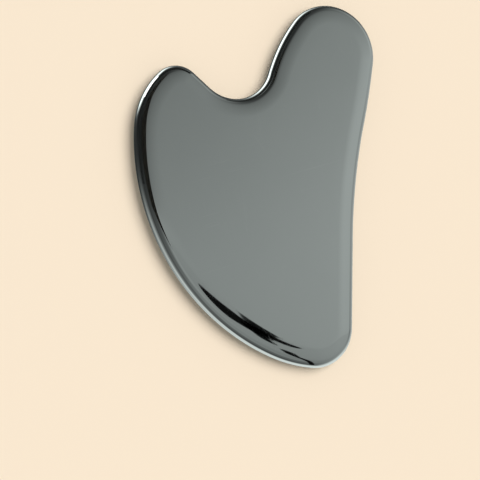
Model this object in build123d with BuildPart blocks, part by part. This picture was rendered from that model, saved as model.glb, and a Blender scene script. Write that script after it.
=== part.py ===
from build123d import *
import math
import os

# Hand-held gua sha scraper: one solid plate of polished stainless steel, in the shape of
# a lopsided heart, with a fully rounded rim all round. It lies on its back face, with +Y
# towards the long lobe, +X towards the waisted side and +Z through the thickness.

os.makedirs("parts", exist_ok=True)

# Overall size
plate_length = 100.0
plate_width = 70.0
plate_thickness = 5.2

# Rim section: each flat face rolls off along a gentle crown, then round a tight nose
crown_radius = 25.0
crown_slope = 8.0
core_overlap = 0.2

# Outline, anticlockwise from the short lobe. The circles are fixed in place; the joins
# are arcs tangent to both neighbours. A negative radius is a hollow, curved inwards.
short_lobe_radius = 7.0
short_lobe_center = (-23.25, 21.75)
shoulder_radius = 22.5
belly_radius = 61.0
belly_center_y = 9.5
heel_radius = 40.0
tip_radius = 11.0
tip_center_x = 16.5
waist_radius = 160.0
waist_x = 28.0
waist_y = -17.5
back_radius = 200.0
long_lobe_radius = 13.5
flank_radius = 50.0
notch_radius = 11.0
notch_center = (-7.5, 32.25)

# Worked out from the sizes above: four circles touch the sides of the overall box
belly_center = (belly_radius - plate_width / 2, belly_center_y)
tip_center = (tip_center_x, tip_radius - plate_length / 2)
waist_center = (waist_x + waist_radius, waist_y)
long_lobe_center = (plate_width / 2 - long_lobe_radius, plate_length / 2 - long_lobe_radius)

crown_width = crown_radius * math.sin(math.radians(crown_slope))
crown_drop = crown_radius * (1 - math.cos(math.radians(crown_slope)))
nose_radius = (plate_thickness / 2 - crown_drop) / math.cos(math.radians(crown_slope))
face_inset = nose_radius * (1 - math.sin(math.radians(crown_slope))) + crown_width
mid_plane = Plane.XY.offset(plate_thickness / 2)

outline_circles = [
    (short_lobe_center, short_lobe_radius),
    (belly_center, belly_radius),
    (tip_center, tip_radius),
    (waist_center, -waist_radius),
    (long_lobe_center, long_lobe_radius),
    (notch_center, -notch_radius),
]
straight = None
outline_joins = [shoulder_radius, heel_radius, straight, back_radius, flank_radius, straight]


def heading(vector):
    """The direction of a flat vector, in degrees from +X."""
    return math.degrees(math.atan2(vector.Y, vector.X))


def turn_between(start, end, radius):
    """The signed turn from one heading to the next: anticlockwise unless it is a hollow."""
    turn = (end - start) % 360
    return turn if radius > 0 else turn - 360


def rim_point(center, radius, outward, inset):
    """The point of an outline circle whose outward normal has the given heading."""
    point = Vector(*center) + Vector(radius - inset, 0).rotate(Axis.Z, outward)
    return point.X, point.Y


def straight_join(first, second):
    """The outward heading along the straight that touches two circles."""
    (center_1, radius_1), (center_2, radius_2) = first, second
    span = Vector(*center_2) - Vector(*center_1)
    outward = heading(span) - math.degrees(math.acos((radius_1 - radius_2) / span.length))
    return outward, outward, None


def arc_join(first, second, radius):
    """The outward headings at both ends of the arc that touches two circles, and its centre."""
    (center_1, radius_1), (center_2, radius_2) = first, second
    span = Vector(*center_2) - Vector(*center_1)
    reach_1, reach_2 = abs(radius - radius_1), abs(radius - radius_2)
    corner = (reach_1**2 + span.length**2 - reach_2**2) / (2 * reach_1 * span.length)
    options = []
    for side in (-1, 1):
        aim = heading(span) + side * math.degrees(math.acos(corner))
        center = Vector(*center_1) + Vector(reach_1, 0).rotate(Axis.Z, aim)
        start = heading((Vector(*center_1) - center) * (radius - radius_1))
        end = heading((Vector(*center_2) - center) * (radius - radius_2))
        options.append((start, end, (center.X, center.Y)))
    return min(options, key=lambda option: abs(turn_between(option[0], option[1], radius)))


def draw_arc(center, radius, start, end, inset):
    """One arc of the outline, moved inwards by the inset."""
    turn = turn_between(start, end, radius)
    from_center = start if radius > 0 else start + 180
    CenterArc(center, abs(radius - inset), from_center, turn)


def draw_outline(inset):
    """The closed outline of the plate, moved inwards by the inset, in the active line."""
    count = len(outline_circles)
    joins = []
    for index, radius in enumerate(outline_joins):
        first, second = outline_circles[index], outline_circles[(index + 1) % count]
        joins.append(arc_join(first, second, radius) if radius else straight_join(first, second))
    for index, (center, radius) in enumerate(outline_circles):
        arrive = joins[index - 1][1]
        leave, reach, join_center = joins[index]
        next_center, next_radius = outline_circles[(index + 1) % count]
        draw_arc(center, radius, arrive, leave, inset)
        if join_center:
            draw_arc(join_center, outline_joins[index], leave, reach, inset)
        else:
            Line(
                rim_point(center, radius, leave, inset),
                rim_point(next_center, next_radius, reach, inset),
            )


# Plate: a rounded rim swept once round the outline, filled by a flat core
with BuildPart() as scraper_plate:
    with BuildLine(mid_plane) as rim_path:
        draw_outline(0)
    rim_start = rim_path.wire() @ 0
    rim_travel = rim_path.wire() % 0
    inwards = rim_travel.rotate(Axis.Z, 90)
    with BuildSketch(Plane(origin=rim_start, x_dir=inwards, z_dir=rim_travel)) as rim_section:
        with BuildLine():
            crown_center_y = plate_thickness / 2 - crown_radius
            half_turn = 180 - 2 * crown_slope
            CenterArc((face_inset, crown_center_y), crown_radius, 90, crown_slope)
            CenterArc((nose_radius, 0), nose_radius, 90 + crown_slope, half_turn)
            CenterArc((face_inset, -crown_center_y), crown_radius, 270 - crown_slope, crown_slope)
            Polyline(
                (face_inset, -plate_thickness / 2),
                (face_inset + core_overlap * 2, -plate_thickness / 2),
                (face_inset + core_overlap * 2, plate_thickness / 2),
                (face_inset, plate_thickness / 2),
            )
        make_face()
    sweep(path=rim_path.wire())
    with BuildSketch(mid_plane) as core_section:
        with BuildLine():
            draw_outline(face_inset + core_overlap)
        make_face()
    extrude(amount=plate_thickness / 2, both=True)

scraper_plate.part.label = "scraper_plate"
export_step(scraper_plate.part, "parts/scraper_plate.step")

print("nose radius", round(nose_radius, 3), "face inset", round(face_inset, 3))
print("size", scraper_plate.part.bounding_box().size)
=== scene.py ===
import math

import bpy
from mathutils import Matrix, Vector
from mathutils.geometry import delaunay_2d_cdt


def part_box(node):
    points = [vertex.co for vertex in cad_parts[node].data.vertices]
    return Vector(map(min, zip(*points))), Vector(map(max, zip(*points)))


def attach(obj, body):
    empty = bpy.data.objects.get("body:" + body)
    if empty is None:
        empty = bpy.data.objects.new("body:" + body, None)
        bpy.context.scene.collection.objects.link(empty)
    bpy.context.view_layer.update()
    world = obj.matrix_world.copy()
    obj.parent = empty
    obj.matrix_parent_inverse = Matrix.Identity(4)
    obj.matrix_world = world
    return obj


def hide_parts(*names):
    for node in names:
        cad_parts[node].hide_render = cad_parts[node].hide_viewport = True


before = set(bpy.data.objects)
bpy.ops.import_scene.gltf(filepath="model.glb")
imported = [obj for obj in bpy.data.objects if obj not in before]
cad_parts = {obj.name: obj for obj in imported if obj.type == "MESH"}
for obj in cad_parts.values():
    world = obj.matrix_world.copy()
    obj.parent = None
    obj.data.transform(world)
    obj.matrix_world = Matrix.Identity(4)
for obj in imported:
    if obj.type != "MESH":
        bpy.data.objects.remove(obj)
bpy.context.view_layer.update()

MM = 0.001
low_corner, high_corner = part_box("scraper_plate")
LENGTH = high_corner.y - low_corner.y
WIDTH = high_corner.x - low_corner.x
THICKNESS = high_corner.z - low_corner.z

# ---- Plate shape: the CAD plate's own outline and rim section, meshed finely ----
# Each circle is a centre and a radius, and each join is the radius of the arc that touches
# both neighbours, or None for a straight. A negative radius is a hollow.
SHORT_LOBE = ((-23.25 * MM, 21.75 * MM), 7.0 * MM)
BELLY = ((61.0 * MM - WIDTH / 2, 9.5 * MM), 61.0 * MM)
TIP = ((16.5 * MM, 11.0 * MM - LENGTH / 2), 11.0 * MM)
WAIST = ((188.0 * MM, -17.5 * MM), -160.0 * MM)
LONG_LOBE = ((WIDTH / 2 - 13.5 * MM, LENGTH / 2 - 13.5 * MM), 13.5 * MM)
NOTCH = ((-7.5 * MM, 32.25 * MM), -11.0 * MM)
CIRCLES = [SHORT_LOBE, BELLY, TIP, WAIST, LONG_LOBE, NOTCH]
JOINS = [22.5 * MM, 40.0 * MM, None, 200.0 * MM, 50.0 * MM, None]
CROWN_RADIUS = 25.0 * MM
CROWN_SLOPE = math.radians(8.0)
STATION_GAP = 0.45 * MM
CROWN_STEPS = 8
NOSE_STEPS = 36
FACE_GRID = 3.0 * MM

# ---- Steel ----
STEEL_TONES = ((0.628, 0.634, 0.630, 1), (0.652, 0.657, 0.651, 1))
MARKED_STEEL = (0.74, 0.74, 0.73, 1)
MARK_TONE = 0.25
POLISH_ROUGHNESS = 0.030
SMEAR_ROUGHNESS = 0.035
MARK_ROUGHNESS = 0.05
WAVE_HEIGHT = 0.012 * MM

# ---- Camera, floor and light ----
CAMERA_PLACE = Vector((-0.1449, -0.0574, 0.3281))
CAMERA_TARGET = Vector((-0.0053, -0.0165, 0.0026))
CAMERA_LENS = 101.2
FLOOR_HALF = 3.0
FLOOR_GAP = 0.02 * MM
FLOOR_COLOR = (0.86, 0.73, 0.57)
FLOOR_LIGHT = 1.22       # what the lit floor sends back, as a share of its colour
SKY_SHARE = 0.45         # the part of that light that comes from all round
SKY_COLOR = (0.8, 0.8, 0.8, 1)
BACKDROP_SHARE = 0.9     # the backdrop against the floor, so that no horizon shows
LIGHT_FROM = Vector((0.35, 0.25, 0.9))
LIGHT_SPREAD = math.radians(50)

# ---- Cards near the plate, in millimetres ----
BLACK = (0.01, 0.012, 0.012)
WHITE = (0.95, 0.97, 1.0)
CLOTH = (-110, -23, -30, 130, 125)     # its X limits, its Y limits and its height
FENCE = [(-45, -5), (-45, 26), (-38, 37), (-25, 42), (-12, 36), (-7, 41), (-2, 50), (8, 59), (15, 62)]
FENCE_FOOT = 5.8
FENCE_TOP = 13.5
STRIP = [(-62, 46, -7), (-38, 44, -7), (-38, 44, 3.2), (-62, 46, 2.5)]

# ---- The surround that the steel mirrors ----
# Each band is (azimuth from +X in degrees, brightness) stops. The brightness levels go back
# to a table computed from the photograph's reflections.
BRIGHTEST = 2.5          # the brightest thing the steel mirrors
SURROUND_TINT = (0.947, 1.043, 1.010)
HIGH = [
    (0, 0.34), (14, 0.37), (28, 0.28), (45, 0.23), (60, 0.20), (74, 0.15), (90, 0.13), (120, 0.13),
    (145, 0.06), (160, 0.015), (184, 0.015), (204, 0.11), (222, 0.27), (240, 0.38), (280, 0.34), (318, 0.31),
]
MIDDLE = [
    (0, 0.42), (14, 0.54), (30, 0.33), (45, 0.25), (60, 0.13), (74, 0.07), (95, 0.03), (135, 0.03),
    (156, 0.015), (186, 0.015), (230, 0.20), (252, 0.32), (300, 0.24), (330, 0.30),
]
LEVEL = [
    (0, 0.20), (14, 0.55), (30, 0.50), (45, 0.33), (60, 0.20), (74, 0.05), (92, 0.02), (108, 0.28),
    (145, 0.28), (158, 0.015), (186, 0.015), (225, 0.15), (285, 0.15), (305, 0.19), (330, 0.46), (345, 0.34),
]
LOW = [
    (0, 0.35), (14, 0.50), (30, 0.42), (45, 0.30), (60, 0.14), (74, 0.04), (90, 0.03), (135, 0.03),
    (152, 0.015), (186, 0.015), (208, 0.30), (235, 0.15), (255, 0.07), (288, 0.08), (300, 0.30), (315, 0.80),
    (332, 0.90), (345, 0.50),
]
UNDER = [
    (0, 0.50), (20, 0.35), (36, 0.06), (72, 0.03), (80, 0.05), (112, 0.25), (136, 0.35), (145, 0.10),
    (151, 0.015), (185, 0.015), (202, 0.40), (225, 0.55), (250, 0.10), (285, 0.20), (303, 0.90), (330, 1.05),
    (345, 0.65),
]
DEEP = [
    (0, 0.60), (25, 0.45), (40, 0.08), (76, 0.08), (90, 1.00), (112, 2.20), (138, 2.50), (147, 0.60),
    (154, 0.02), (185, 0.02), (202, 0.45), (235, 0.85), (285, 1.00), (330, 1.05),
]
GROUND = [
    (0, 0.35), (30, 0.10), (80, 0.04), (110, 0.15), (150, 0.03), (185, 0.02), (215, 0.25), (250, 0.70),
    (285, 0.90), (330, 0.90),
]
# The bands in order, each at its angle off the zenith in degrees
SURROUND = [
    (1, 0.36), (8, HIGH), (20, HIGH), (38, MIDDLE), (56, MIDDLE), (66, LEVEL),
    (75, LEVEL), (85, LOW), (91, LOW), (99, UNDER), (112, DEEP), (126, DEEP),
    (142, GROUND), (160, GROUND), (178, 0.08),
]
# Dark bars overhead, a body with three limbs and its thin stand, each the start and end of
# its axis as the X and Y of a direction, its reach either side and its soft edge
DARK_BARS = [
    ((0.230, -0.090), (0.330, -0.058), 0.039, 0.004),
    ((0.353, -0.046), (0.388, 0.020), 0.019, 0.004),
    ((0.329, -0.075), (0.332, -0.120), 0.019, 0.004),
    ((0.365, -0.041), (0.392, -0.041), 0.025, 0.004),
    ((0.360, -0.184), (0.353, -0.924), 0.0185, 0.005),
]
DARKEST_SHARE = 0.02


def direction(heading):
    return Vector((math.cos(heading), math.sin(heading)))


def heading(vector):
    return math.atan2(vector.y, vector.x)


def turn_between(start, end, radius):
    """The signed turn between two headings: anticlockwise unless the arc is a hollow."""
    turn = (end - start) % math.tau
    return turn if radius > 0 else turn - math.tau


def straight_join(first, second):
    """The outward heading of the straight that touches two circles, at both its ends."""
    (center_1, radius_1), (center_2, radius_2) = first, second
    span = Vector(center_2) - Vector(center_1)
    outward = heading(span) - math.acos((radius_1 - radius_2) / span.length)
    return outward, outward, None


def arc_join(first, second, radius):
    """The outward headings where an arc touches two circles, and its centre."""
    (center_1, radius_1), (center_2, radius_2) = first, second
    span = Vector(center_2) - Vector(center_1)
    reach_1, reach_2 = abs(radius - radius_1), abs(radius - radius_2)
    corner = (reach_1**2 + span.length**2 - reach_2**2) / (2 * reach_1 * span.length)
    options = []
    for side in (-1, 1):
        aim = heading(span) + side * math.acos(corner)
        center = Vector(center_1) + direction(aim) * reach_1
        start = heading((Vector(center_1) - center) * (radius - radius_1))
        end = heading((Vector(center_2) - center) * (radius - radius_2))
        options.append((start, end, center))
    return min(options, key=lambda option: abs(turn_between(option[0], option[1], radius)))


def arc_stations(center, radius, start, end):
    """Evenly spaced points on one arc with their outward headings, without the last one."""
    turn = turn_between(start, end, radius)
    count = max(2, math.ceil(abs(turn * radius) / STATION_GAP))
    headings = [start + turn * step / count for step in range(count)]
    return [(Vector(center) + direction(h) * radius, direction(h)) for h in headings]


def straight_stations(start, end, outward):
    """Evenly spaced points on one straight with their outward direction."""
    count = max(2, math.ceil((end - start).length / STATION_GAP))
    return [(start.lerp(end, step / count), direction(outward)) for step in range(count)]


def outline_stations():
    """Points all round the outline, anticlockwise, each with its outward direction."""
    count = len(CIRCLES)
    joins = []
    for index, radius in enumerate(JOINS):
        first, second = CIRCLES[index], CIRCLES[(index + 1) % count]
        joins.append(arc_join(first, second, radius) if radius else straight_join(first, second))
    stations = []
    for index, (center, radius) in enumerate(CIRCLES):
        arrive = joins[index - 1][1]
        leave, reach, join_center = joins[index]
        stations += arc_stations(center, radius, arrive, leave)
        if join_center:
            stations += arc_stations(join_center, JOINS[index], leave, reach)
        else:
            next_center, next_radius = CIRCLES[(index + 1) % count]
            start = Vector(center) + direction(leave) * radius
            end = Vector(next_center) + direction(reach) * next_radius
            stations += straight_stations(start, end, leave)
    return stations


def rim_section():
    """(inset, height) steps round the rim, from the edge of the top face to the bottom one."""
    drop = CROWN_RADIUS * (1 - math.cos(CROWN_SLOPE))
    nose = (THICKNESS / 2 - drop) / math.cos(CROWN_SLOPE)
    inset = nose * (1 - math.sin(CROWN_SLOPE)) + CROWN_RADIUS * math.sin(CROWN_SLOPE)
    crown = []
    for step in range(CROWN_STEPS):
        slope = CROWN_SLOPE * step / CROWN_STEPS
        height = THICKNESS / 2 - CROWN_RADIUS * (1 - math.cos(slope))
        crown.append((inset - CROWN_RADIUS * math.sin(slope), height))
    curve = []
    for step in range(NOSE_STEPS + 1):
        slope = CROWN_SLOPE + (math.pi - 2 * CROWN_SLOPE) * step / NOSE_STEPS
        curve.append((nose * (1 - math.sin(slope)), nose * math.cos(slope)))
    return crown + curve + [(i, -h) for i, h in reversed(crown)]


def face_triangles(edge):
    """Even triangles that fill a flat face inside its edge, and the points they use."""
    grid = []
    for column in range(math.floor(-WIDTH / 2 / FACE_GRID), math.ceil(WIDTH / 2 / FACE_GRID)):
        for row in range(math.floor(-LENGTH / 2 / FACE_GRID), math.ceil(LENGTH / 2 / FACE_GRID)):
            point = Vector((column * FACE_GRID, row * FACE_GRID))
            if min((point - other).length for other in edge) > FACE_GRID / 2:
                grid.append(point)
    loop = [(i, (i + 1) % len(edge)) for i in range(len(edge))]
    points, _, triangles, *_ = delaunay_2d_cdt(edge + grid, loop, [], 1, 1e-7)
    used = sorted({i for triangle in triangles for i in triangle} | set(range(len(edge))))
    place = {old: new for new, old in enumerate(used)}
    return [points[i] for i in used], [[place[i] for i in triangle] for triangle in triangles]


def make_plate():
    """The plate as one closed mesh: rings of quads round the rim, closed by two flat faces."""
    stations = outline_stations()
    section = rim_section()
    middle = THICKNESS / 2
    vertices, faces = [], []
    for inset, height in section:
        for point, outward in stations:
            vertices.append((*(point - outward * inset), middle + height))
    count = len(stations)
    for ring in range(len(section) - 1):
        for index in range(count):
            after = (index + 1) % count
            upper, lower = ring * count, (ring + 1) * count
            faces.append((upper + index, lower + index, lower + after, upper + after))
    edge = [point - outward * section[0][0] for point, outward in stations]
    points, triangles = face_triangles(edge)
    last_ring = (len(section) - 1) * count
    for ring_start, height, flipped in ((0, THICKNESS, False), (last_ring, 0, True)):
        inner = len(vertices)
        vertices += [(*point, height) for point in points[count:]]
        for triangle in triangles:
            corners = [ring_start + i if i < count else inner + i - count for i in triangle]
            faces.append(tuple(reversed(corners)) if flipped else tuple(corners))
    mesh = bpy.data.meshes.new("plate")
    mesh.from_pydata(vertices, [], faces)
    mesh.validate()
    mesh.shade_smooth()
    plate = bpy.data.objects.new("plate", mesh)
    bpy.context.scene.collection.objects.link(plate)
    return plate


# ---- Materials ----


def link_value(tree, socket, value):
    if isinstance(value, bpy.types.NodeSocket):
        tree.links.new(value, socket)
    else:
        socket.default_value = value


def add_math(tree, operation, *values):
    node = tree.nodes.new("ShaderNodeMath")
    node.operation = operation
    for socket, value in zip(node.inputs, values):
        link_value(tree, socket, value)
    return node.outputs[0]


def add_vector_math(tree, operation, first, second):
    """Vector maths on two sockets or plain values. A scale's second value is a number."""
    node = tree.nodes.new("ShaderNodeVectorMath")
    node.operation = operation
    link_value(tree, node.inputs[0], first)
    link_value(tree, node.inputs["Scale" if operation == "SCALE" else 1], second)
    return node.outputs["Value" if operation in ("DOT_PRODUCT", "DISTANCE") else "Vector"]


def add_mix(tree, factor, first, second, blend="MIX"):
    """A mix of two colours, each a socket or a plain colour."""
    node = tree.nodes.new("ShaderNodeMix")
    node.data_type = "RGBA"
    node.blend_type = blend
    link_value(tree, node.inputs["Factor"], factor)
    link_value(tree, node.inputs[6], first)
    link_value(tree, node.inputs[7], second)
    return node.outputs[2]


def add_range(tree, value, low, high, out_low=0.0, out_high=1.0):
    """A smooth step from one value to another between two limits."""
    node = tree.nodes.new("ShaderNodeMapRange")
    node.interpolation_type = "SMOOTHSTEP"
    tree.links.new(value, node.inputs["Value"])
    limits = {"From Min": low, "From Max": high, "To Min": out_low, "To Max": out_high}
    for name, number in limits.items():
        node.inputs[name].default_value = number
    return node.outputs[0]


def add_ramp(tree, factor, stops):
    """A smooth grey ramp through (position, level) stops."""
    node = tree.nodes.new("ShaderNodeValToRGB")
    node.color_ramp.interpolation = "B_SPLINE"
    elements = node.color_ramp.elements
    while len(elements) < len(stops):
        elements.new(0.5)
    for element, (position, level) in zip(elements, stops):
        element.position = position
        element.color = (level, level, level, 1)
    tree.links.new(factor, node.inputs["Fac"])
    return node.outputs["Color"]


def add_noise(tree, place, scale, detail, turn=0.0, stretch=(1, 1, 1), distortion=0.0):
    """Noise in plate millimetres, turned about the plate's normal and stretched if asked."""
    mapping = tree.nodes.new("ShaderNodeMapping")
    mapping.vector_type = "TEXTURE"
    mapping.inputs["Rotation"].default_value = (0, 0, math.radians(turn))
    mapping.inputs["Scale"].default_value = stretch
    tree.links.new(place, mapping.inputs["Vector"])
    noise = tree.nodes.new("ShaderNodeTexNoise")
    noise.inputs["Scale"].default_value = scale
    noise.inputs["Detail"].default_value = detail
    noise.inputs["Distortion"].default_value = distortion
    tree.links.new(mapping.outputs[0], noise.inputs["Vector"])
    return noise.outputs["Fac"]


def add_scratches(tree, place):
    """Hairlines: long thin streaks that run three ways, each broken up by a coarse mask."""
    scratches = None
    for turn, scale in ((18, 0.9), (-52, 1.3), (97, 1.1)):
        lines = add_noise(tree, place, scale, 1.0, turn, (30, 0.35, 6))
        gaps = add_noise(tree, place, 0.11 * scale, 2.0, turn + 40)
        lines, gaps = add_range(tree, lines, 0.69, 0.74), add_range(tree, gaps, 0.48, 0.62)
        layer = add_math(tree, "MULTIPLY", lines, gaps)
        scratches = add_math(tree, "MAXIMUM", scratches, layer) if scratches else layer
    return scratches


def add_rim_wear(tree, place):
    """Handling marks, which gather where the surface turns over into the rim."""
    geometry = tree.nodes.new("ShaderNodeNewGeometry")
    lean = tree.nodes.new("ShaderNodeSeparateXYZ")
    tree.links.new(geometry.outputs["Normal"], lean.inputs[0])
    rim = add_range(tree, add_math(tree, "ABSOLUTE", lean.outputs["Z"]), 0.35, 0.97, 1.0, 0.0)
    specks = add_range(tree, add_noise(tree, place, 1.6, 4.0), 0.52, 0.68)
    return add_math(tree, "MULTIPLY", rim, specks)


def polished_steel():
    """Mirror-polished steel: smears, sparse hairline scratches and a slightly worn rim."""
    material = bpy.data.materials.new("polished_steel")
    material.use_nodes = True
    tree = material.node_tree
    shader = tree.nodes["Principled BSDF"]
    shader.inputs["Metallic"].default_value = 1.0
    coordinates = tree.nodes.new("ShaderNodeTexCoord")
    place = add_vector_math(tree, "SCALE", coordinates.outputs["Object"], 1 / MM)
    clouds = add_noise(tree, place, 0.07, 3.0)
    smears = add_range(tree, add_noise(tree, place, 0.16, 5.0, 35, (2.2, 1, 1), 1.2), 0.50, 0.72)
    scratches = add_scratches(tree, place)
    wear = add_rim_wear(tree, place)
    marks = add_math(tree, "MULTIPLY", add_math(tree, "ADD", scratches, wear), MARK_TONE)
    tone = add_mix(tree, clouds, *STEEL_TONES)
    tree.links.new(add_mix(tree, marks, tone, MARKED_STEEL), shader.inputs["Base Color"])
    roughness = add_math(tree, "MULTIPLY_ADD", smears, SMEAR_ROUGHNESS, POLISH_ROUGHNESS)
    for layer in (scratches, wear):
        roughness = add_math(tree, "MULTIPLY_ADD", layer, MARK_ROUGHNESS, roughness)
    tree.links.new(roughness, shader.inputs["Roughness"])
    # Polishing leaves the metal very slightly wavy, and the scratches cut less than a micron
    waves = add_noise(tree, place, 0.06, 1.0)
    height = add_math(tree, "MULTIPLY_ADD", scratches, -0.015, waves)
    bump = tree.nodes.new("ShaderNodeBump")
    bump.inputs["Strength"].default_value = 1.0
    bump.inputs["Distance"].default_value = WAVE_HEIGHT
    tree.links.new(height, bump.inputs["Height"])
    tree.links.new(bump.outputs["Normal"], shader.inputs["Normal"])
    return material


def matt_material(name, color):
    """A plain dull material for what stands round the plate, and its shader."""
    material = bpy.data.materials.new(name)
    material.use_nodes = True
    shader = material.node_tree.nodes["Principled BSDF"]
    shader.inputs["Base Color"].default_value = (*color, 1)
    return material, shader


# ---- Studio ----


def make_camera():
    camera = bpy.data.objects.new("camera", bpy.data.cameras.new("camera"))
    bpy.context.scene.collection.objects.link(camera)
    camera.data.sensor_width = 36.0
    camera.data.lens = CAMERA_LENS
    ahead = (CAMERA_TARGET - CAMERA_PLACE).normalized()
    right = ahead.cross(Vector((0, 1, 0))).normalized()
    turn = Matrix((right, right.cross(ahead), -ahead)).transposed().to_4x4()
    camera.matrix_world = Matrix.Translation(CAMERA_PLACE) @ turn
    bpy.context.scene.camera = camera


def add_flat(name, corners, material):
    """One flat polygon that stands outside the object."""
    mesh = bpy.data.meshes.new(name)
    mesh.from_pydata(corners, [], [tuple(range(len(corners)))])
    mesh.materials.append(material)
    flat = bpy.data.objects.new(name, mesh)
    bpy.context.scene.collection.objects.link(flat)
    return flat


def make_floor():
    """Pale paper, just clear of the plate's back, that the steel doesn't mirror."""
    paper, shader = matt_material("floor_paper", FLOOR_COLOR)
    shader.inputs["Roughness"].default_value = 0.9
    shader.inputs["Specular IOR Level"].default_value = 0.0
    corners = [(x * FLOOR_HALF, y * FLOOR_HALF, 0) for x, y in ((-1, -1), (1, -1), (1, 1), (-1, 1))]
    floor = add_flat("floor", corners, paper)
    floor.location.z = -FLOOR_GAP
    floor.visible_glossy = False


def make_light():
    """One very soft light, the same strength everywhere on the floor."""
    light = bpy.data.objects.new("soft_light", bpy.data.lights.new("soft_light", "SUN"))
    light.rotation_mode = "QUATERNION"
    light.rotation_quaternion = LIGHT_FROM.to_track_quat("Z", "Y")
    light.data.energy = FLOOR_LIGHT * (1 - SKY_SHARE) * math.pi / LIGHT_FROM.normalized().z
    light.data.angle = LIGHT_SPREAD
    light.visible_glossy = False
    bpy.context.scene.collection.objects.link(light)


def add_card(name, corners, color, strength=0.0):
    """A flat card, in millimetres, that only the steel sees."""
    material, shader = matt_material(name, color)
    shader.inputs["Roughness"].default_value = 1.0
    shader.inputs["Emission Color"].default_value = (*color, 1)
    shader.inputs["Emission Strength"].default_value = strength
    card = add_flat(name, [Vector(corner) * MM for corner in corners], material)
    card.visible_camera = False
    card.visible_diffuse = False
    card.visible_shadow = False


def make_cards():
    """Black cloth over the short lobe, a low black fence round it and a white strip beyond. The fence also
    glows faintly, painted light in place of the light its shaded sides would catch, and the strip glows as a
    light panel that only the steel sees.
    """
    left, right, front, back, height = CLOTH
    corners = [(left, front), (right, front), (right, back), (left, back)]
    add_card("black_cloth", [(*corner, height) for corner in corners], BLACK)
    for index, (start, end) in enumerate(zip(FENCE, FENCE[1:])):
        feet = [(*start, FENCE_FOOT), (*end, FENCE_FOOT)]
        tops = [(*end, FENCE_TOP), (*start, FENCE_TOP)]
        # The fence's faint glow is painted light: it stands in for the light its shaded sides would catch.
        add_card("black_fence_%d" % (index + 1), feet + tops, BLACK, 0.6)
    add_card("white_strip", STRIP, WHITE, 2.0)


def add_band(tree, azimuth, band):
    """A band's light all round, or one grey where the band is a single level."""
    if isinstance(band, list):
        stops = [(turn / 360, level / BRIGHTEST) for turn, level in band]
        return add_ramp(tree, azimuth, stops + [(1.0, stops[0][1])])
    return (band / BRIGHTEST, band / BRIGHTEST, band / BRIGHTEST, 1)


def add_bands(tree, azimuth, off_zenith, bands):
    """Blend from one band to the next as the angle off the zenith grows."""
    light = add_band(tree, azimuth, bands[0][1])
    for (last_angle, last_band), (angle, band) in zip(bands, bands[1:]):
        if band is not last_band:
            rise = add_range(tree, off_zenith, last_angle, angle)
            light = add_mix(tree, rise, light, add_band(tree, azimuth, band))
    return light


def add_dark_bar(tree, aim, z, light, bar):
    """Darken the light along a short bar overhead, seen in plan."""
    start, end, reach, soft = bar
    span = Vector((*end, 0)) - Vector((*start, 0))
    flat = add_vector_math(tree, "MULTIPLY", aim, (1, 1, 0))
    from_start = add_vector_math(tree, "SUBTRACT", flat, (*start, 0))
    along = add_vector_math(tree, "DOT_PRODUCT", from_start, span / span.length_squared)
    clamp = tree.nodes.new("ShaderNodeClamp")
    tree.links.new(along, clamp.inputs["Value"])
    nearest = add_vector_math(tree, "SCALE", span, clamp.outputs[0])
    gap = add_vector_math(tree, "DISTANCE", from_start, nearest)
    clear = add_range(tree, gap, reach, reach + soft)
    keep = add_math(tree, "MAXIMUM", clear, add_math(tree, "LESS_THAN", z, 0.0))
    keep = add_math(tree, "MAXIMUM", keep, DARKEST_SHARE)
    return add_mix(tree, 1.0, light, keep, "MULTIPLY")


def add_background(tree, color, strength):
    node = tree.nodes.new("ShaderNodeBackground")
    link_value(tree, node.inputs["Color"], color)
    node.inputs["Strength"].default_value = strength
    return node.outputs[0]


def add_choice(tree, test, otherwise, chosen):
    node = tree.nodes.new("ShaderNodeMixShader")
    for socket, value in zip(node.inputs, (test, otherwise, chosen)):
        tree.links.new(value, socket)
    return node.outputs[0]


def make_world():
    """The surround that the steel mirrors, even light on the rest, and a plain backdrop."""
    world = bpy.data.worlds.new("studio")
    bpy.context.scene.world = world
    world.use_nodes = True
    tree = world.node_tree
    tree.nodes.clear()
    aim = tree.nodes.new("ShaderNodeTexCoord").outputs["Generated"]
    split = tree.nodes.new("ShaderNodeSeparateXYZ")
    tree.links.new(aim, split.inputs[0])
    x, y, z = split.outputs
    azimuth = add_math(tree, "DEGREES", add_math(tree, "ARCTAN2", y, x))
    azimuth = add_math(tree, "FRACT", add_math(tree, "DIVIDE", azimuth, 360.0))
    off_zenith = add_math(tree, "DEGREES", add_math(tree, "ARCCOSINE", z))
    light = add_bands(tree, azimuth, off_zenith, SURROUND)
    for bar in DARK_BARS:
        light = add_dark_bar(tree, aim, z, light, bar)
    light = add_mix(tree, 1.0, light, (*SURROUND_TINT, 1), "MULTIPLY")
    mirrored = add_background(tree, light, BRIGHTEST)
    even = add_background(tree, SKY_COLOR, FLOOR_LIGHT * SKY_SHARE)
    backdrop = add_background(tree, (*FLOOR_COLOR, 1), FLOOR_LIGHT * BACKDROP_SHARE)
    path = tree.nodes.new("ShaderNodeLightPath")
    lighting = add_choice(tree, path.outputs["Is Glossy Ray"], even, mirrored)
    seen = add_choice(tree, path.outputs["Is Camera Ray"], lighting, backdrop)
    output = tree.nodes.new("ShaderNodeOutputWorld")
    tree.links.new(seen, output.inputs[0])


bpy.context.scene.view_settings.view_transform = "Standard"
make_camera()
make_floor()
make_light()
make_cards()
make_world()
plate = make_plate()
plate.data.materials.append(polished_steel())
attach(plate, "root")
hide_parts("scraper_plate")
